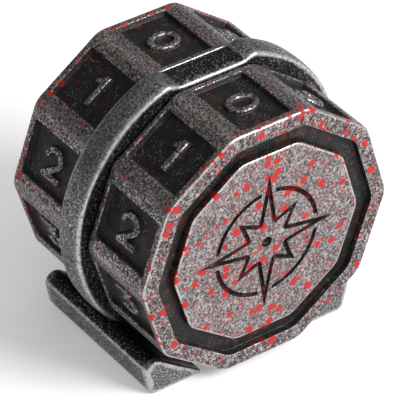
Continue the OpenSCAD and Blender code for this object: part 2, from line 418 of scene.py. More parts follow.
def digit_field(n, px, py):
    """Rough signed distance to numeral n, centred on the origin and read with +Y up."""
    w = STROKE_W

    def pen(path):
        return stroke(px, py, path, w)

    def box(p, q):
        return bar(px, py, p, q, w)

    def bowl(r, start, end):
        return pen(arc((0, r - CY), CX, r, start, end))

    def six(x, y):
        eye_y = -EYE_R * 0.85
        loop = stroke(x, y, arc((0, eye_y), CX, CY + eye_y, 0, 360, 40), w)
        tail = stroke(x, y, arc((CX * 0.75, eye_y), CX * 1.75, CY - eye_y, 178, 105), w)
        return np.minimum(loop, tail)

    if n == 0:
        parts = [pen(arc((0, 0), CX, CY, 0, 360, 44))]
    if n == 1:
        stem, top = 0.4, CY + w / 2
        flag = [(stem + w / 2, top), (stem - w * 0.2, top), (-0.95, top - 1.05), (-0.80, top - 1.55),
                (stem - w / 2, top - 1.25)]
        parts = [box((stem, -top), (stem, top)), polygon_field(px, py, flag)]
    if n == 2:
        parts = [pen(arc((0, CY - CX * 0.86), CX, CX * 0.86, 170, -38) + [(-CX, -CY)]),
                 box((-CX, -CY), (CX + w / 2, -CY))]
    if n == 3:
        hook_r = 0.95
        parts = [pen([(-CX, CY), (CX * 0.75, CY), (-CX * 0.3, 2 * hook_r - CY)]), bowl(hook_r, 90, -142)]
    if n == 4:
        bar_y, post_x = -CY * 0.35, CX * 0.5
        parts = [pen([(post_x, CY), (-CX, bar_y)]), box((-CX, bar_y), (CX + w / 2, bar_y)),
                 box((post_x, CY + w / 2), (post_x, -CY - w / 2))]
    if n == 5:
        parts = [pen([(CX, CY), (-CX * 0.8, CY), (-CX * 0.86, 0.1)]), bowl(CX * 0.92, 140, -155)]
    if n == 6:
        parts = [six(px, py)]
    if n == 7:
        parts = [pen([(-CX, CY), (CX, CY)]), box((CX, CY), (-CX * 0.25, -CY - w / 2))]
    if n == 8:
        parts = [pen(arc((0, EYE_R), CX * 0.86, EYE_R, 0, 360, 40)),
                 pen(arc((0, -EYE_R), CX, EYE_R, 0, 360, 40))]
    if n == 9:
        parts = [six(-px, -py)]
    return np.minimum.reduce(parts)


# (distance from the edge, height) from the foot of a numeral's flank up to its flat top
DIGIT_LEVELS = [
    (0.17, 0.0), (0.07, 0.03), (0.01, 0.11), (-0.05, 0.30), (-0.10, 0.42), (-0.17, 0.48), (-0.27, 0.5)]
DIGIT_MARGIN = 0.6
RELIEF_PITCH = 0.06


def digit_loops(n):
    half_w, half_h = DIGIT_W / 2 + DIGIT_MARGIN, DIGIT_H / 2 + DIGIT_MARGIN
    return relief_loops(lambda px, py: digit_field(n, px, py), half_w, half_h, RELIEF_PITCH, DIGIT_LEVELS)


# ---- dials ----

def window_profile():
    """(distance inside the window's edge, depth) down a wall: soft brim, slope and filleted floor."""
    corners = [(-0.4, 0), (0, 0), (WALL_RUN, WINDOW_DEPTH), (WALL_RUN + 0.5, WINDOW_DEPTH)]
    return rounded_path(corners, [0.09, 0.2], 3)[1:-1]


WALL = window_profile()
WALL_END = WALL[-1][0]


def window_inside(x, t):
    """Distance inside the window's rounded edge, less than zero outside it."""
    half_x, half_t = (WINDOW_X1 - WINDOW_X0) / 2, WINDOW_HALF
    qx = abs(x - (WINDOW_X0 + WINDOW_X1) / 2) - half_x + WINDOW_CORNER_R
    qt = abs(t) - half_t + WINDOW_CORNER_R
    out = math.hypot(max(qx, 0), max(qt, 0)) + min(max(qx, qt), 0) - WINDOW_CORNER_R
    return -out


def wall_depth(inside_by):
    return float(np.interp(inside_by, [s for s, _ in WALL], [d for _, d in WALL]))


def flat_lines():
    """Places across a dial's flat, from 1 down to -1, closer at the window's walls, and how many
    of them lie on either side of its floor."""
    wall = [WINDOW_HALF - s for s, _ in WALL]
    half = [DIAL_FLAT] + spread(DIAL_FLAT, wall[0], 0.35) + wall
    middle = spread(wall[-1], -wall[-1], 0.5)
    return [t / DIAL_FLAT for t in half + middle + [-t for t in half[::-1]]], len(half)


def meridian():
    """The dial's outer profile, as (x, inset): round inner edge, side with lines at the window's
    walls, round rim edge and a line beside it that keeps the rim's wear on the edge."""
    inner = rounded_path([(DIAL_IN, 1.0), (DIAL_IN, 0), (DIAL_IN + 0.5, 0)], [INNER_EDGE_R], 4)[:-1]
    outer = rounded_path([(DIAL_OUT - 0.6, 0), (DIAL_OUT, 0), (DIAL_OUT, 0.8)], [RIM_EDGE_R], 6)[1:]
    outer.insert(-1, (DIAL_OUT, RIM_EDGE_R + 0.12))
    wall_in = [WINDOW_X0 + s for s, _ in WALL]
    wall_out = [WINDOW_X1 - s for s, _ in WALL][::-1]
    first = inner + [(x, 0) for x in wall_in if x > inner[-1][0] + 0.02]
    last = [(x, 0) for x in wall_out if x < outer[0][0] - 0.02] + outer
    middle = [(x, 0) for x in spread(first[-1][0], last[0][0], 0.6)]
    return first + middle + last


def dial_shell(side, numerals):
    """One dial with its outward side at +X. Its numerals are mirrored where the dial will be."""
    shell = Shell()
    along, edge_count = flat_lines()
    rows = outline(DIAL_AF, CORNER_R, along)
    per_face = len(along) + CORNER_STEPS - 1
    profile = meridian()
    x_floor = [WINDOW_X0 + WALL_END, WINDOW_X1 - WALL_END]

    rings = []
    for x, e in profile:
        ring = []
        for i, (y, z, ny, nz) in enumerate(rows):
            place = i % per_face
            on_flat = place < len(along)
            inside_by = window_inside(x, along[place] * DIAL_FLAT) if on_flat else -9
            inward_by = e + wall_depth(inside_by)
            paint_and_shade = held((inside_by + 0.02) / 0.12)
            brim = 0.12 * held(1 - abs(inside_by + 0.04) / 0.10)
            edge = 0.95 if 0.03 < e < 0.20 else 0.0
            corner = 0.0 if on_flat else 0.35
            wear_and_highlight = max(brim, edge, corner)
            ring.append(shell.add((x, y - ny * inward_by, z - nz * inward_by), paint_and_shade, wear_and_highlight))
        rings.append(ring)

    def in_floor(j, i):
        x_a, x_b = profile[j][0], profile[j + 1][0]
        place = i % per_face
        if place >= len(along) - 1:
            return False
        within_x = x_a >= x_floor[0] - 1e-6 and x_b <= x_floor[1] + 1e-6
        return within_x and edge_count - 1 <= place < len(along) - edge_count

    for j in range(len(profile) - 1):
        shell.bridge(rings[j], rings[j + 1], lambda i: in_floor(j, i))

    floor_rows = [j for j, (x, _) in enumerate(profile) if x_floor[0] - 1e-6 <= x <= x_floor[1] + 1e-6]
    floor_cols = list(range(edge_count - 1, len(along) - edge_count + 1))
    middle_x = (WINDOW_X0 + WINDOW_X1) / 2
    for k in range(FACES):
        c, s = math.cos(FACE_TURN * k), math.sin(FACE_TURN * k)
        base = DIAL_AF / 2 - WINDOW_DEPTH

        def place_relief(p, height, c=c, s=s, base=base):
            x, t, h = p[0], p[1], base + height
            paint_and_shade = 1 - held((height - 0.16) / 0.2)
            return shell.add((x, t * c - h * s, t * s + h * c), paint_and_shade, 0.0)

        def corner(j, i, k=k):
            return ((profile[j][0], along[i] * DIAL_FLAT), rings[j][k * per_face + i])

        border = [corner(j, floor_cols[0]) for j in floor_rows]
        border += [corner(floor_rows[-1], i) for i in floor_cols[1:]]
        border += [corner(j, floor_cols[-1]) for j in floor_rows[-2::-1]]
        border += [corner(floor_rows[0], i) for i in floor_cols[-2:0:-1]]
        loops = [([(middle_x + side * x, y) for x, y in loop], height) for loop, height in numerals[k]]
        fill_relief(shell, border, loops, place_relief)

    # rim, recess for the cap, pocket, hub, bore and inner face
    recess = outline(DIAL_AF - 2 * RIM_W, CORNER_R, along)
    lip = [(DIAL_OUT, -0.5), (DIAL_OUT, 0), (RECESS_X, 0.05), (RECESS_X, 0.6)]
    last = rings[-1]
    for step, (x, e) in enumerate(rounded_path(lip, [0.13, 0.15], 3)[1:]):
        paint_and_shade = held((DIAL_OUT - x) / 0.1)
        ring = shell.ring(inset(recess, x, e), paint_and_shade, 0.6 * (1 - paint_and_shade) if step else 0.3)
        shell.bridge(last, ring)
        last = ring
    inward = [(RECESS_X, POCKET_R), (DIAL_IN + FLOOR_T, POCKET_R - 0.15), (DIAL_IN + FLOOR_T, HUB_R),
              (HUB_OUT, HUB_R), (HUB_OUT, BORE_R), (HUB_IN, BORE_R), (HUB_IN, HUB_R), (DIAL_IN, HUB_R)]
    for x, r in inward:
        ring = shell.ring(circle(rows, x, r), 0.5)
        shell.bridge(last, ring)
        last = ring
    shell.bridge(last, rings[0])
    return shell


# ---- end caps ----

STAR_R = CAP_AF / 2 - 2.9
STAR_POINTS = 8
SHORT_POINT = 0.62
STAR_WAIST = 0.33
COMPASS_RING = 0.74
LINE_W = 0.54
# (distance from an engraved line's edge, height) from its brim down to its floor
EMBLEM_LEVELS = [(0.06, 0.0), (0.0, -0.05), (-0.05, -0.14), (-0.10, -0.25), (-0.16, -0.3)]


def star():
    """The compass star's corners: long and short points in turn, with a waist between them."""
    reaches = [1, STAR_WAIST, SHORT_POINT, STAR_WAIST]
    points = []
    for i in range(2 * STAR_POINTS):
        a = math.pi * i / STAR_POINTS
        d = STAR_R * reaches[i % 4]
        points.append((d * math.cos(a), d * math.sin(a)))
    return points


def emblem_field(px, py):
    """Rough signed distance to the engraved lines: a compass star, a ring behind it and a dot."""
    outer = polygon_field(px, py, star())
    away = np.hypot(px, py)
    lines = np.maximum(outer, -outer - LINE_W)
    ring = np.maximum(np.abs(away - STAR_R * COMPASS_RING) - LINE_W / 2, LINE_W - outer)
    dot = away - LINE_W * 1.25
    return np.minimum(np.minimum(lines, ring), dot)


def cap_shell(emblem):
    """One end cap, with its engraved face at +X and a round lip behind it."""
    shell = Shell()
    along = [1 - 2 * i / 12 for i in range(13)]
    rows = outline(CAP_AF, CORNER_R, along)
    corners = [(RECESS_X, 0.4), (RECESS_X, 0), (DIAL_OUT, CAP_DRAFT), (DIAL_OUT, 0.9)]
    profile = rounded_path(corners, [0.05, CAP_EDGE_R], 5)
    profile.insert(-1, (DIAL_OUT, 2 * CAP_EDGE_R))
    rings = []
    for x, e in profile:
        drop = DIAL_OUT - x
        on_edge = 0 < drop < CAP_EDGE_R or CAP_DRAFT < e < 1.5 * CAP_EDGE_R
        rings.append(shell.ring(inset(rows, x, e), held(drop / 0.22), 0.9 if on_edge else 0.0))
    for a, b in zip(rings[:-1], rings[1:]):
        shell.bridge(a, b)
    border = [((shell.places[v][1], shell.places[v][2]), v) for v in rings[-1]]

    def place(p, height):
        return shell.add((DIAL_OUT + height, p[0], p[1]), min(ENGRAVED, max(0, (-height - 0.02) / 0.05)))

    fill_relief(shell, border, emblem, place)
    lip_x, back_r = cap_low[0], POCKET_R - CAP_CLEAR
    lip_r = back_r - CAP_LIP_T
    inward = [(RECESS_X, back_r), (lip_x, back_r), (lip_x, lip_r), (RECESS_X, lip_r)]
    ring = rings[0]
    for x, r in inward:
        following = shell.ring(circle(rows, x, r), 1.0)
        shell.bridge(following, ring)
        ring = following
    centre = shell.add((RECESS_X, 0, 0), 1.0)
    n = len(ring)
    for i in range(n):
        shell.faces.append((ring[i], ring[(i + 1) % n], centre))
    return shell


# ---- ring frame ----

def smooth_min(a, b, k):
    """The lesser of two values, blended where they are within k of each other."""
    h = max(k - abs(a - b), 0) / k
    return min(a, b) - h * h * k / 4


def smooth_max(a, b, k):
    return -smooth_min(-a, -b, k)


def ring_reach(a):
    """Distance from the axle to the ring's outer surface, at angle a from the top."""
    c, s = math.cos(a), abs(math.sin(a))
    reach = RING_R
    low = DIAL_AF / 2 + NOTCH_STEP
    if c > 0.3:
        ramp_face = NOTCH_HALF * math.sin(RAMP) - low * math.cos(RAMP)
        slope = s * math.sin(RAMP) - c * math.cos(RAMP)
        ramp = ramp_face / slope if slope < -1e-6 else 99
        notch = smooth_max(low / c, ramp, 0.5)
        reach = smooth_min(reach, min(notch, 99), 0.55)
    if c < -0.3:
        reach = smooth_min(reach, (AXLE_H - RING_TABLE_GAP) / -c, 0.2)
    return reach


def ring_angles():
    """Angles round the ring, closer where the notch and its shoulders are."""
    shoulder = math.radians(34)
    near = np.linspace(-shoulder, shoulder, 150)
    rest = np.linspace(shoulder, math.tau - shoulder, 190)[1:-1]
    return np.concatenate([near, rest])


def ring_shell():
    """The ring, with a crowned outer side, round edges, a thin web and a hub."""
    shell = Shell()
    crown_half = RING_FACE - RING_EDGE_R
    crown = [(x, RING_CROWN * (1 - (x / RING_FACE) ** 2)) for x in np.linspace(-crown_half, crown_half, 9)]
    edge = [(crown_half + RING_EDGE_R * math.sin(t), RING_EDGE_R * (math.cos(t) - 1))
            for t in np.linspace(0, math.pi / 2, 7)[1:]]
    edge.append((RING_FACE, -RING_EDGE_R - 0.25))
    side = [(-x, h) for x, h in edge[::-1]] + crown + edge
    inner = [(RING_FACE, RING_R - RING_T), (WEB_FACE, RING_R - RING_T - 0.1), (WEB_FACE, FRAME_HUB_R),
             (RING_FACE, FRAME_HUB_R), (RING_FACE, AXLE_R)]
    rings = []
    for a in ring_angles():
        reach = ring_reach(a)
        loop = [(x, reach + h) for x, h in side]
        loop += inner + [(-x, r) for x, r in inner[::-1]]
        rings.append(shell.ring([(x, -r * math.sin(a), r * math.cos(a)) for x, r in loop]))
    for i in range(len(rings)):
        shell.bridge(rings[i], rings[(i + 1) % len(rings)])
    return shell


def foot_corners():
    """The wedge's corners as (distance from the middle, height): tip, base, top and tip again."""
    s, c = math.sin(FACE_TURN), math.cos(FACE_TURN)
    d = DIAL_CORNER + FOOT_GAP
    base = RING_R - FOOT_INSET
    tip = (d - (AXLE_H - FOOT_TIP_T) * c) / s
    top_z = (AXLE_H - d / c + s / c * base) / (1 - s / c * FOOT_LEAN)
    return [(tip, 0), (base, 0), (base + top_z * FOOT_LEAN, top_z), (tip, FOOT_TIP_T)]


def closed_rounded(points, radii, steps):
    """A closed outline with an arc at each corner, and points along its straight sides."""
    n = len(points)
    ends = []
    for i in range(n):
        ends.append(rounded_path([points[i - 1], points[i], points[(i + 1) % n]], [radii[i]], steps)[1:-1])
    loop = []
    for i in range(n):
        loop += ends[i]
        a, b = ends[i][-1], ends[(i + 1) % n][0]
        for t in spread(0, 1, 0.6 / max(0.6, math.dist(a, b))):
            loop.append((a[0] + (b[0] - a[0]) * t, a[1] + (b[1] - a[1]) * t))
    return loop


def foot_shell(way):
    """A wedge foot along X; way is 1 at +Y and -1 at -Y."""
    shell = Shell()
    tip_r = FOOT_TIP_T / 5
    loop = closed_rounded(foot_corners(), [tip_r, FOOT_BASE_R, FOOT_TOP_R, tip_r], 6)
    inside_a = (loop[0][0] + 0.25, FOOT_TIP_T / 2)
    thick = [p for p in loop if p[1] > FOOT_TIP_T]
    inside_b = (sum(p[0] for p in thick) / len(thick) + 0.8, sum(p[1] for p in thick) / len(thick))
    ax, ay = inside_a
    dx, dy = inside_b[0] - ax, inside_b[1] - ay
    straight = FOOT_L / 2 - FOOT_END_R
    stations = []
    for t in np.linspace(0, math.pi / 2, 6):
        stations.append((straight + FOOT_END_R * math.sin(t), FOOT_END_R * (1 - math.cos(t))))
    middle = spread(-straight, straight, 1.0)
    stations.append((FOOT_L / 2, FOOT_END_R + 0.35))
    stations = [(-x, e) for x, e in stations[::-1]] + [(x, 0) for x in middle] + stations

    def drawn_in(p, e):
        t = min(1, max(0, ((p[0] - ax) * dx + (p[1] - ay) * dy) / (dx * dx + dy * dy)))
        qx, qy = ax + t * dx, ay + t * dy
        away = math.hypot(qx - p[0], qy - p[1])
        e = min(e, away * 0.75)
        return p[0] + (qx - p[0]) * e / away, p[1] + (qy - p[1]) * e / away

    rings = []
    for x, e in stations:
        rings.append(shell.ring([(x, way * y, z - AXLE_H) for y, z in (drawn_in(p, e) for p in loop)]))
    for a, b in zip(rings[:-1], rings[1:]):
        shell.bridge(a, b)
    for ring in (rings[0], rings[-1]):
        points = [Vector(shell.places[v][1:]) for v in ring]
        edges = [(i, (i + 1) % len(ring)) for i in range(len(ring))]
        _, _, faces, origin, _, _ = delaunay_2d_cdt(points, edges, [], 1, 1e-7)
        for f in faces:
            shell.faces.append(tuple(ring[origin[v][0]] for v in f))
    return shell


# ---- turning shells into objects ----

def to_object(data, name):
    """An object in the scene that holds a mesh, light or camera."""
    piece = bpy.data.objects.new(name, data)
    bpy.context.scene.collection.objects.link(piece)
    return piece


def outward_faces(mesh):
    """Makes every face of a closed mesh point outward."""
    work = bmesh.new()
    work.from_mesh(mesh)
    bmesh.ops.remove_doubles(work, verts=work.verts, dist=2e-7)
    bmesh.ops.recalc_face_normals(work, faces=work.faces)
    if work.calc_volume(signed=True) < 0:
        bmesh.ops.reverse_faces(work, faces=work.faces)
    work.to_mesh(mesh)
    work.free()


def smooth(piece, sharp=40):
    """Smooth shading that keeps flats flat, with edges sharper than this angle left crisp."""
    mesh = piece.data
    mesh.shade_smooth()
    mesh.set_sharp_from_angle(angle=math.radians(sharp))
    normals = piece.modifiers.new("normals", "WEIGHTED_NORMAL")
    normals.keep_sharp = True
    normals.weight = 60


def lift(mesh):
    """Moves a mesh built about the axle up to it."""
    mesh.transform(Matrix.Translation((0, 0, AXLE_H * MM)))


def make_end_piece(name, side, shell, material):
    """A dial or an end cap from its shell; side is 1 at +X and -1 at -X."""
    mesh = shell.mesh(name)
    if side < 0:
        mesh.transform(Matrix.Scale(-1, 4, (1, 0, 0)))
    lift(mesh)
    outward_faces(mesh)
    piece = to_object(mesh, name)
    mesh.materials.append(material)
    smooth(piece)
    return piece


def bend(v):
    """How sharply the surface turns outward at a vertex, per millimetre: 0 on flats and in hollows."""
    most = 0.0
    for e in v.link_edges:
        other = e.other_vert(v)
        way = other.co - v.co
        if way.length > 0.02 * MM:
            most = max(most, (other.normal - v.normal).dot(way) / way.length_squared * MM)
    return most


def frame_marks(v):
    """The patina and painted shade, and the wear and painted highlight, of one vertex of the frame, told
    by where it is and how it bends.
    """
    x, y, z = abs(v.co.x) / MM, abs(v.co.y) / MM, v.co.z / MM - AXLE_H
    height = z + AXLE_H
    away = math.hypot(y, z)
    reach = ring_reach(math.atan2(y, z))
    above_slope = y * math.sin(FACE_TURN) - z * math.cos(FACE_TURN) - DIAL_CORNER - FOOT_GAP
    foot_end = FOOT_L / 2

    # patina and painted shade on the ring's walls between it and the dials
    on_wall = abs(x - RING_FACE) < 0.03 and away < reach - 0.40
    # painted shade on the notch floor, for the dark it reflects
    in_notch = z > 0 and RING_R - reach > 0.9 and away > reach - 0.2
    # painted shadow of the dials on the feet's top slopes
    on_slope = abs(above_slope) < 0.12 and z < -8
    on_foot = x < foot_end - 0.1 and y < RING_R and 0.6 < height < FOOT_TOP and away > RING_R - RING_T
    beside_ring = on_foot and (x > RING_FACE or away > RING_R + 0.2)
    # painted shadow of the dials on the feet's ridges
    on_ridge = beside_ring and height > FOOT_RIDGE + 0.1
    # painted highlight: a light line along each foot's ridge, where its rounding catches the light
    ridge_highlight = beside_ring and abs(height - FOOT_RIDGE) < 0.1 and y > RING_R - FOOT_INSET
    end_face = x > foot_end - 0.03

    wear_and_highlight = held((bend(v) - 0.5) / 1.3)
    if (on_ridge or on_slope) and x <= foot_end - 0.5:
        wear_and_highlight = 0.0
    # the painted highlight line along the ridge
    if ridge_highlight:
        wear_and_highlight = 0.9
    if end_face:
        wear_and_highlight = max(wear_and_highlight, 0.25)
    # patina and painted shade on the walls, painted shadow on the feet's tops, painted shade in the notch
    paint_and_shade = 1.0 if on_wall or on_slope or on_ridge else 0.7 if in_notch else 0.0
    return paint_and_shade, wear_and_highlight


def mark_frame(mesh):
    """Wear on the frame's round edges and foot ends with a painted highlight along the feet's ridges, and
    patina and painted shade: on the ring's walls beside the dials, in its notch and as the dials' painted
    shadow on the feet's tops.
    """
    work = bmesh.new()
    work.from_mesh(mesh)
    work.normal_update()
    paint_and_shade, wear_and_highlight = zip(*(frame_marks(v) for v in work.verts))
    work.free()
    for name, values in (("paint_and_shade", paint_and_shade), ("wear_and_highlight", wear_and_highlight)):
        attribute = mesh.attributes.get(name) or mesh.attributes.new(name, "FLOAT", "POINT")
        attribute.data.foreach_set("value", values)


def make_frame(material):
    """The ring and its two feet joined into one piece."""
    ring = to_object(ring_shell().mesh("ring_frame"), "ring_frame")
    feet = [to_object(foot_shell(way).mesh("foot"), "foot") for way in (-1, 1)]
    for part in [ring] + feet:
        lift(part.data)
        outward_faces(part.data)
    for foot in feet:
        union = ring.modifiers.new("union", "BOOLEAN")
        union.operation = "UNION"
        union.solver = "EXACT"
        union.object = foot
    joined = bpy.data.meshes.new_from_object(ring.evaluated_get(bpy.context.evaluated_depsgraph_get()))
    ring.modifiers.clear()
    ring.data = joined
    for foot in feet:
        bpy.data.objects.remove(foot)
    joined.name = "ring_frame"
    mark_frame(joined)
    joined.materials.clear()
    joined.materials.append(material)
    smooth(ring)
    return ring


# ---- materials ----

class Tree:
    """Short names for the nodes of one material."""

    def __init__(self, name):
        self.material = bpy.data.materials.new(name)
        self.material.use_nodes = True
        self.nodes = self.material.node_tree.nodes
        self.links = self.material.node_tree.links
        self.shader = self.nodes["Principled BSDF"]
        self.coordinates = self.nodes.new("ShaderNodeTexCoord").outputs["Object"]

    def put(self, value, socket):
        if isinstance(value, bpy.types.NodeSocket):
            self.links.new(value, socket)
        else:
            socket.default_value = value

    def math(self, operation, a, b=0.0, c=0.0):
        node = self.nodes.new("ShaderNodeMath")
        node.operation = operation
        for value, socket in zip((a, b, c), node.inputs):
            self.put(value, socket)
        return node.outputs[0]

    def clamp(self, value, low, high, to_low=0.0, to_high=1.0):
        """The value from low..high carried over to to_low..to_high, with soft ends."""
        node = self.nodes.new("ShaderNodeMapRange")
        node.interpolation_type = "SMOOTHSTEP"
        names = ("Value", "From Min", "From Max", "To Min", "To Max")
        for name, v in zip(names, (value, low, high, to_low, to_high)):
            self.put(v, node.inputs[name])
        return node.outputs["Result"]

    def noise(self, size, detail=2.0, roughness=0.55, distortion=0.0, shift=0.0):
        """Noise whose grains are about this many millimetres."""
        where = self.coordinates
        if shift:
            moved = self.nodes.new("ShaderNodeVectorMath")
            moved.operation = "ADD"
            self.put(where, moved.inputs[0])
            moved.inputs[1].default_value = (shift, shift * 0.7, -shift)
            where = moved.outputs[0]
        node = self.nodes.new("ShaderNodeTexNoise")
        self.put(where, node.inputs["Vector"])
        node.inputs["Scale"].default_value = 1 / (size * MM)
        node.inputs["Detail"].default_value = detail
        node.inputs["Roughness"].default_value = roughness
        node.inputs["Distortion"].default_value = distortion
        return node.outputs["Fac"]

    def mix(self, amount, a, b):
        node = self.nodes.new("ShaderNodeMix")
        node.data_type = "RGBA"
        self.put(amount, node.inputs["Factor"])
        for value, socket in ((a, node.inputs[6]), (b, node.inputs[7])):
            self.put((*value, 1) if isinstance(value, tuple) else value, socket)
        return node.outputs[2]

    def ramp(self, value, stops):
        node = self.nodes.new("ShaderNodeValToRGB")
        self.put(value, node.inputs["Fac"])
        elements = node.color_ramp.elements
        while len(elements) < len(stops):
            elements.new(1.0)
        for element, (place, grey) in zip(elements, stops):
            element.position = place
            element.color = (*grey, 1) if isinstance(grey, tuple) else (grey, grey, grey, 1)
        return node.outputs["Color"]

    def mark(self, name):
        node = self.nodes.new("ShaderNodeAttribute")
        node.attribute_name = name
        return node.outputs["Fac"]

    def drops(self, size, share, shift):
        """1 inside round splashes up to this many millimetres across, in this share of their cells."""
        wobble = self.nodes.new("ShaderNodeTexNoise")
        self.put(self.coordinates, wobble.inputs["Vector"])
        wobble.inputs["Scale"].default_value = 1 / (size * 0.9 * MM)
        wobble.inputs["Detail"].default_value = 1.0
        where = self.nodes.new("ShaderNodeVectorMath")
        where.operation = "MULTIPLY_ADD"
        self.put(wobble.outputs["Color"], where.inputs[0])
        where.inputs[1].default_value = (size * 0.28 * MM,) * 3
        self.put(self.coordinates, where.inputs[2])
        moved = self.nodes.new("ShaderNodeVectorMath")
        moved.operation = "ADD"
        self.put(where.outputs[0], moved.inputs[0])
        moved.inputs[1].default_value = (shift, -shift, shift * 0.5)
        cells = self.nodes.new("ShaderNodeTexVoronoi")
        self.put(moved.outputs[0], cells.inputs["Vector"])
        cells.inputs["Scale"].default_value = 1 / (size * 1.15 * MM)
        cells.inputs["Randomness"].default_value = 0.85
        split = self.nodes.new("ShaderNodeSeparateColor")
        self.put(cells.outputs["Color"], split.inputs[0])
        empty = self.math("SUBTRACT", 1.0, share)
        chosen = self.math("SUBTRACT", split.outputs[0], empty)
        reach = self.clamp(chosen, 0.0, 0.35, 0.0, 0.46)
        edge = self.math("SUBTRACT", reach, cells.outputs["Distance"])
        return self.clamp(edge, 0.0, 0.09)

    def near_end(self, low, high, to_low, to_high):
        """A value that follows how far along the axle a point is, from low to high millimetres."""
        split = self.nodes.new("ShaderNodeSeparateXYZ")
        self.put(self.coordinates, split.inputs[0])
        return self.clamp(self.math("ABSOLUTE", split.outputs[0]), low * MM, high * MM, to_low, to_high)

    def bump(self, height, strength, depth):
        node = self.nodes.new("ShaderNodeBump")
        node.inputs["Strength"].default_value = strength
        node.inputs["Distance"].default_value = depth * MM
        self.put(height, node.inputs["Height"])
        self.links.new(node.outputs["Normal"], self.shader.inputs["Normal"])

    def finish(self, colour, roughness, metallic, specular=0.5):
        self.put(specular, self.shader.inputs["Specular IOR Level"])
        self.put(colour, self.shader.inputs["Base Color"])
        self.put(roughness, self.shader.inputs["Roughness"])
        self.put(metallic, self.shader.inputs["Metallic"])
        return self.material


RED = (0.34, 0.013, 0.010)
DULL_RED = (0.085, 0.008, 0.007)
ENAMEL = (0.007, 0.0068, 0.0068)
FLECK = (0.17, 0.17, 0.17)
STAIN = (0.036, 0.013, 0.010)

# (size in millimetres, share of the cells that hold one, strength of the red)
SPLASHES = [(1.15, 0.42, 1.0), (0.70, 0.50, 0.85), (0.30, 0.75, 0.45)]
SPRAY_SIZE = 0.5

FLOOR_GLOW = 0.24


def grained(tree, grain_size, tones, patina_and_shade=None):
    """The grain, colour, roughness and metalness of tumbled cast metal, whose worn grains and painted
    highlight lines are bright.

    tones are the greys of its pits, body, bright grains and glints. The last argument holds the greys of
    the blackened metal and painted shade under the paint mark, where only the highest grains show.
    """
    grain = tree.noise(grain_size, 2.5, 0.6)
    cloud = tree.noise(2.6, 2.0, 0.5, shift=0.013)
    broken = tree.clamp(tree.noise(0.6, 3.0, 0.6, shift=0.021), 0.28, 0.58, 0.4, 0.85)
    # the wear mark brightens worn edges, and also paints a highlight line along the feet's ridges
    worn_and_highlit = tree.math("MULTIPLY", tree.clamp(tree.mark("wear_and_highlight"), 0.1, 0.95), broken)
    plain_tone = tree.math("ADD", grain, tree.math("MULTIPLY_ADD", cloud, 0.12, -0.06))
    tone = tree.math("MULTIPLY_ADD", worn_and_highlit, tree.math("SUBTRACT", 0.72, plain_tone), plain_tone)
    pit, body, bright, glint = tones
    colour = tree.ramp(tone, [(0.34, pit), (0.48, body), (0.60, bright), (0.76, glint)])
    # patina and painted shade: metal blackened under the paint mark, which on the frame also darkens the
    # ring's walls, its notch and the feet's tops where shade falls
    if patina_and_shade:
        black, speck = patina_and_shade
        ragged = tree.math("MULTIPLY_ADD", tree.noise(0.3, 2.0, 0.6, shift=0.037), 0.5, -0.25)
        dark = tree.clamp(tree.math("ADD", tree.mark("paint_and_shade"), ragged), 0.30, 0.55)
        blackened_and_shaded = tree.ramp(tone, [(0.44, black), (0.55, 4 * black), (0.67, speck)])
        colour = tree.mix(dark, colour, blackened_and_shaded)
    roughness = tree.clamp(tone, 0.36, 0.70, 0.58, 0.28)
    metallic = tree.clamp(tone, 0.30, 0.42, 0.35, 0.85)
    return grain, colour, roughness, metallic


def silver_metal(name, tones, relief, side_share, end_share):
    """Cast silver with black enamel where the paint mark is, and red splashes: large, small and spray.

    side_share and end_share scale how many splashes there are on the dials' sides and at their ends.
    """
    tree = Tree(name)
    warm = [(tone * 1.05, tone, tone * 0.98) for tone in tones]
    grain, colour, roughness, metallic = grained(tree, 0.26, warm)
    ragged = tree.math("MULTIPLY_ADD", tree.noise(0.22, 2.0, 0.6, shift=0.037), 0.5, -0.25)
    paint_and_shade = tree.clamp(tree.math("ADD", tree.mark("paint_and_shade"), ragged), 0.34, 0.52)
    fleck = tree.clamp(tree.noise(0.17, 2.0, 0.5, shift=0.05), 0.59, 0.70)
    dust = tree.clamp(tree.noise(1.3, 2.0, 0.5, shift=0.07), 0.42, 0.62)
    stain = tree.clamp(tree.noise(3.0, 2.0, 0.5, shift=0.09), 0.48, 0.72, 0.0, 0.7)
    amount = tree.near_end(DIAL_OUT - 2.4, DIAL_OUT - 0.4, side_share, end_share)
    enamel = tree.mix(tree.math("MULTIPLY", stain, amount), ENAMEL, STAIN)
    enamel = tree.mix(tree.math("MULTIPLY", fleck, dust), enamel, FLECK)
    colour = tree.mix(paint_and_shade, colour, enamel)
    roughness = tree.math("MULTIPLY_ADD", paint_and_shade, tree.math("SUBTRACT", 0.46, roughness), roughness)
    metallic = tree.math("MULTIPLY", metallic, tree.math("SUBTRACT", 1.0, paint_and_shade))
    for i, (size, part, strength) in enumerate(SPLASHES):
        drop = tree.drops(size, tree.math("MULTIPLY", amount, part), 0.011 * (i + 1))
        drop = tree.math("MULTIPLY", drop, strength)
        if size < SPRAY_SIZE:
            drop = tree.math("MULTIPLY", drop, tree.math("SUBTRACT", 1.0, paint_and_shade))
        colour = tree.mix(drop, colour, tree.mix(paint_and_shade, RED, DULL_RED))
        roughness = tree.math("MULTIPLY_ADD", drop, tree.math("SUBTRACT", 0.42, roughness), roughness)
        metallic = tree.math("MULTIPLY", metallic, tree.math("SUBTRACT", 1.0, drop))
    rough_cast = tree.noise(0.42, 2.0, 0.6, distortion=0.8, shift=0.061)
    tree.bump(tree.math("MULTIPLY_ADD", rough_cast, 1.2, grain), relief, 0.06)
    specular = tree.clamp(tree.mark("paint_and_shade"), 1.0, ENGRAVED, 0.2, 0.02)
    return tree.finish(colour, roughness, metallic, specular)


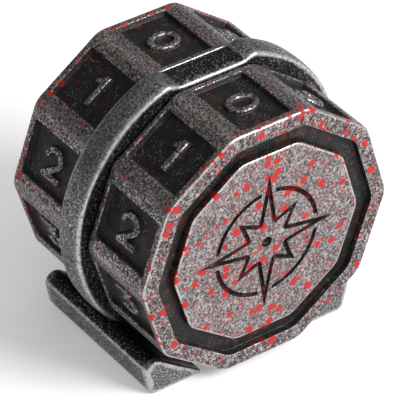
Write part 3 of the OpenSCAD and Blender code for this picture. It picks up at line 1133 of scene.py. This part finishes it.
def frame_metal(name, tones):
    """Smoother dark cast metal, with patina and painted shade where the paint mark is, and bright worn
    edges and a painted highlight line along the feet's ridges.
    """
    tree = Tree(name)
    # (0.006, 0.26): the black and speck greys of the patina and painted shade
    grain, colour, roughness, metallic = grained(tree, 0.24, tones, (0.006, 0.26))
    tree.bump(grain, 0.25, 0.05)
    return tree.finish(colour, roughness, metallic, 0.3)


def steel(name, grey, streak_size, rough):
    """Turned or rolled steel: fine streaks in its grey and its gloss."""
    tree = Tree(name)
    streaks = tree.noise(streak_size, 3.0, 0.6, distortion=1.5)
    colour = tree.ramp(streaks, [(0.3, grey * 0.6), (0.5, grey), (0.7, min(1.0, grey * 1.5))])
    roughness = tree.clamp(streaks, 0.3, 0.7, rough + 0.12, rough - 0.05)
    tree.bump(streaks, 0.15, 0.02)
    return tree.finish(colour, roughness, 1.0)


def white_floor(name):
    """White matt floor that the camera and glossy surfaces see paler than it is lit."""
    tree = Tree(name)
    tree.finish((0.93, 0.91, 0.95, 1), 0.9, 0.0)
    glow = tree.nodes.new("ShaderNodeEmission")
    glow.inputs["Color"].default_value = (1, 1, 1, 1)
    ray = tree.nodes.new("ShaderNodeLightPath")
    seen = tree.math("MAXIMUM", ray.outputs["Is Camera Ray"], ray.outputs["Is Glossy Ray"])
    seen = tree.math("MAXIMUM", seen, ray.outputs["Is Transmission Ray"])
    blend = tree.nodes.new("ShaderNodeMixShader")
    tree.put(tree.math("MULTIPLY", seen, FLOOR_GLOW), blend.inputs[0])
    tree.put(tree.shader.outputs[0], blend.inputs[1])
    tree.put(glow.outputs[0], blend.inputs[2])
    tree.put(blend.outputs[0], tree.nodes["Material Output"].inputs["Surface"])
    return tree.material


# ---- floor, lights and camera ----

TARGET = Vector((0, 0, AXLE_H * MM))
FLOOR_HALF = 2.0


def make_floor():
    mesh = bpy.data.meshes.new("floor")
    corners = [(x * FLOOR_HALF, y * FLOOR_HALF, 0) for x, y in ((-1, -1), (1, -1), (1, 1), (-1, 1))]
    mesh.from_pydata(corners, [], [(0, 1, 2, 3)])
    mesh.materials.append(white_floor("floor"))
    return to_object(mesh, "floor")


def studio_world(scene):
    """Soft light from all round, stronger from behind the object's right shoulder."""
    world = bpy.data.worlds.new("studio")
    scene.world = world
    world.use_nodes = True
    nodes, links = world.node_tree.nodes, world.node_tree.links
    lean = nodes.new("ShaderNodeVectorMath")
    lean.operation = "DOT_PRODUCT"
    lean.inputs[1].default_value = Vector((0.7, 0.25, 0.66)).normalized()
    links.new(nodes.new("ShaderNodeTexCoord").outputs["Generated"], lean.inputs[0])
    fade = nodes.new("ShaderNodeMapRange")
    fade.interpolation_type = "SMOOTHSTEP"
    for name, value in (("From Min", -0.2), ("From Max", 0.9), ("To Min", 0.22), ("To Max", 1.1)):
        fade.inputs[name].default_value = value
    links.new(lean.outputs["Value"], fade.inputs["Value"])
    links.new(fade.outputs["Result"], nodes["Background"].inputs["Color"])
    nodes["Background"].inputs["Strength"].default_value = 0.9


def area_light(name, direction, distance, size, power):
    """A round soft light that faces the object."""
    light = bpy.data.lights.new(name, "AREA")
    light.shape = "DISK"
    light.size = size
    light.energy = power
    lamp = to_object(light, name)
    away = Vector(direction).normalized()
    lamp.location = TARGET + away * distance
    lamp.rotation_mode = "QUATERNION"
    lamp.rotation_quaternion = away.to_track_quat("Z", "Y")


def make_camera(azimuth, elevation, roll, distance, shift_right, shift_up, lens):
    """A camera that looks at the object. Lengths are in dial radii, angles in degrees, lens in mm."""
    azimuth, elevation, roll = math.radians(azimuth), math.radians(elevation), math.radians(roll)
    flat = math.cos(elevation)
    back = Vector((math.sin(azimuth) * flat, -math.cos(azimuth) * flat, math.sin(elevation)))
    level = Vector((math.cos(azimuth), math.sin(azimuth), 0))
    rise = back.cross(level)
    right = level * math.cos(roll) + rise * math.sin(roll)
    up = rise * math.cos(roll) - level * math.sin(roll)
    data = bpy.data.cameras.new("camera")
    data.lens = lens
    data.sensor_width = 36.0
    data.clip_start = 0.01
    data.clip_end = 10
    camera = to_object(data, "camera")
    place = TARGET + (back * distance + right * shift_right + up * shift_up) * (DIAL_CORNER * MM)
    camera.matrix_world = Matrix.Translation(place) @ Matrix((right, up, back)).transposed().to_4x4()
    return camera


# ---- the object ----

dial_silver = silver_metal("antique_silver", (0.012, 0.088, 0.28, 0.66), 0.40, 0.5, 1.0)
cap_silver = silver_metal("antique_silver_cap", (0.034, 0.150, 0.30, 0.60), 0.70, 1.15, 1.15)
pewter = frame_metal("pewter", (0.016, 0.112, 0.23, 0.62))

numerals = [digit_loops(n) for n in range(FACES)]
emblem = relief_loops(emblem_field, STAR_R + 1, STAR_R + 1, RELIEF_PITCH, EMBLEM_LEVELS)
for side, word in ((1, "units"), (-1, "tens")):
    dial = make_end_piece(word + "_number_dial", side, dial_shell(side, numerals), dial_silver)
    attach(dial, word + "_dial")
    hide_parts(word + "_dial")
    cap = make_end_piece(word + "_engraved_cap", side, cap_shell(emblem), cap_silver)
    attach(cap, word + "_dial")
    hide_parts(word + "_end_cap")
ring_frame = make_frame(pewter)
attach(ring_frame, "frame")
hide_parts("frame")

turned = steel("turned_steel", 0.42, 0.35, 0.30)
sprung = steel("spring_strip", 0.30, 0.5, 0.34)
for node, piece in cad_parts.items():
    if not piece.hide_render:
        piece.data.materials.clear()
        piece.data.materials.append(sprung if "spring" in node else turned)

# ---- the studio ----

scene = bpy.context.scene
scene.view_settings.view_transform = "Standard"
floor = make_floor()
studio_world(scene)
area_light("key", (0.72, 0.36, 0.60), 0.40, 0.20, 2.0)
scene.camera = make_camera(azimuth=52.75, elevation=37.1, roll=1.6, distance=23.344,
                           shift_right=0.0052, shift_up=-0.0966, lens=315.2)
